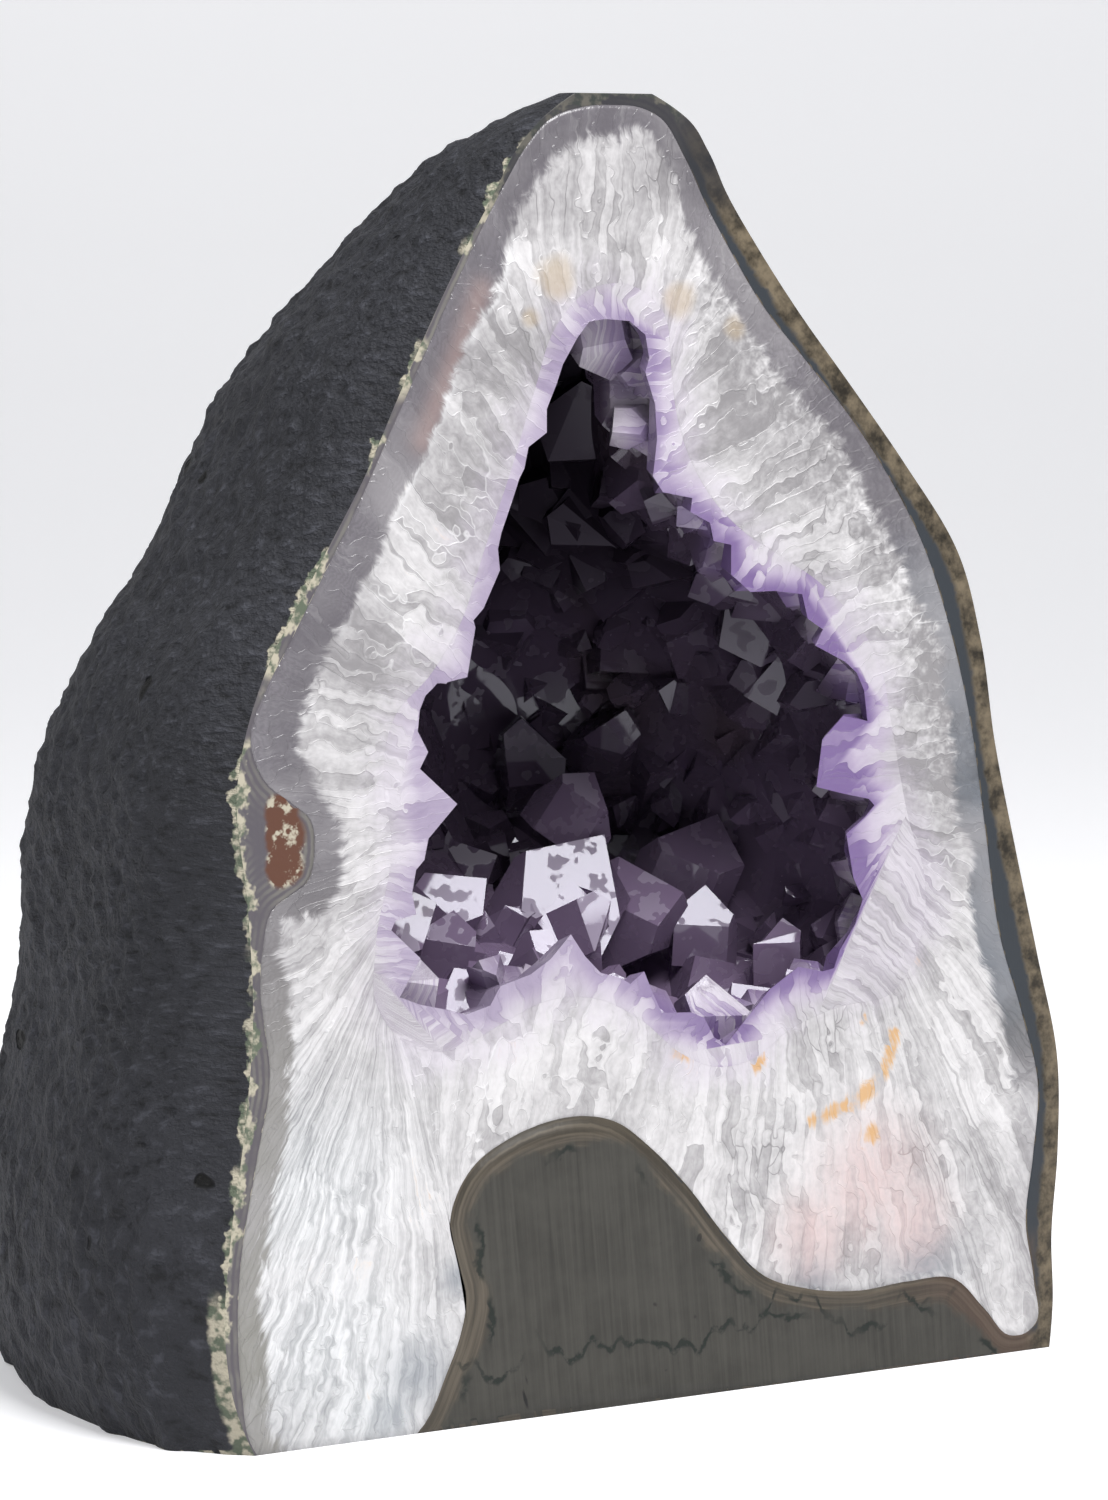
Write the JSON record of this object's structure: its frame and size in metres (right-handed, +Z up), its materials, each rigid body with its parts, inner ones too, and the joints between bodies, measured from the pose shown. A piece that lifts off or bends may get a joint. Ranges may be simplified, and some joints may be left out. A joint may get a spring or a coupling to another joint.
{
  "type": "amethyst geode",
  "caption": "Standing half geode with a sawn front and a sawn base: a dark painted basalt shell, a wall of white quartz and a hollow lined with amethyst crystals.",
  "frame": {"origin": "on the floor, under the middle of the geode's box", "axes": "+Z up, the sawn open face towards -Y, its longer flank on the left towards -X"},
  "size_m": [0.246, 0.1722, 0.286],
  "materials": {
    "basalt": "matte dark grey paint outside, bare olive grey stone where sawn",
    "quartz": "sawn and polished, milky and streaked",
    "amethyst": "natural glassy crystal faces"
  },
  "bodies": {
    "root": {"basalt_shell": "basalt", "quartz_wall": "quartz", "amethyst_crust": "amethyst"}
  },
  "joints": []
}
